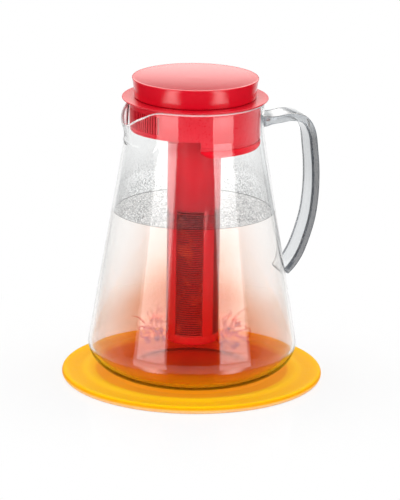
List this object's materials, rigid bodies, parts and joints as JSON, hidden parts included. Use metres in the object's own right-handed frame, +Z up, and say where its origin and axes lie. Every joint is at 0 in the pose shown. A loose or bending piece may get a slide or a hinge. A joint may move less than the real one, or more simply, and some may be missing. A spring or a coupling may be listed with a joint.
{
  "type": "fruit infuser pitcher",
  "caption": "Conical glass jug with a ribbon handle, a straining lid with a pull-off cap, a slitted infuser tube that hangs inside and a round coaster.",
  "frame": {"origin": "middle of the coaster's flat underside, on the jug's axis", "axes": "+Z up, +X towards the handle, -X towards the spout"},
  "size_m": [0.2064, 0.2064, 0.2423],
  "materials": {
    "coaster": "satin, slightly translucent orange-yellow silicone",
    "glass": "clear, polished",
    "lid_plastic": "glossy red",
    "band": "satin red, soft",
    "seal": "satin dark red, soft",
    "infuser_plastic": "glossy, slightly translucent red"
  },
  "bodies": {
    "coaster": {"coaster": "coaster"},
    "jug": {"glass_body": "glass", "glass_handle": "glass"},
    "lid_seal": {"lid_gasket": "seal"},
    "lid": {"lid_collar": "lid_plastic", "pour_strainer": "lid_plastic", "retaining_band": "band"},
    "infuser": {"infuser_tube": "infuser_plastic", "infuser_screen_1": "infuser_plastic", "infuser_screen_2": "infuser_plastic", "infuser_screen_3": "infuser_plastic", "infuser_screen_4": "infuser_plastic"},
    "cap_seal": {"cap_gasket": "seal"},
    "cap": {"cap_shell": "lid_plastic", "cap_plug": "infuser_plastic"}
  },
  "joints": [
    {"name": "jug_lift", "type": "slide", "parent": "coaster", "child": "jug", "axis": [0, 0, 1], "range_m": [0, 0.12]},
    {"name": "lid_lift", "type": "slide", "parent": "jug", "child": "lid_seal", "axis": [0, 0, 1], "range_m": [0, 0.215]},
    {"name": "lid_turn", "type": "hinge", "parent": "lid_seal", "child": "lid", "pos_m": [0, 0, 0.2251], "axis": [0, 0, 1], "continuous": true},
    {"name": "infuser_lift", "type": "slide", "parent": "lid", "child": "infuser", "axis": [0, 0, 1], "range_m": [0, 0.215]},
    {"name": "cap_lift", "type": "slide", "parent": "infuser", "child": "cap_seal", "axis": [0, 0, 1], "range_m": [0, 0.06]},
    {"name": "cap_turn", "type": "hinge", "parent": "cap_seal", "child": "cap", "pos_m": [0, 0, 0.2228], "axis": [0, 0, 1], "continuous": true}
  ]
}
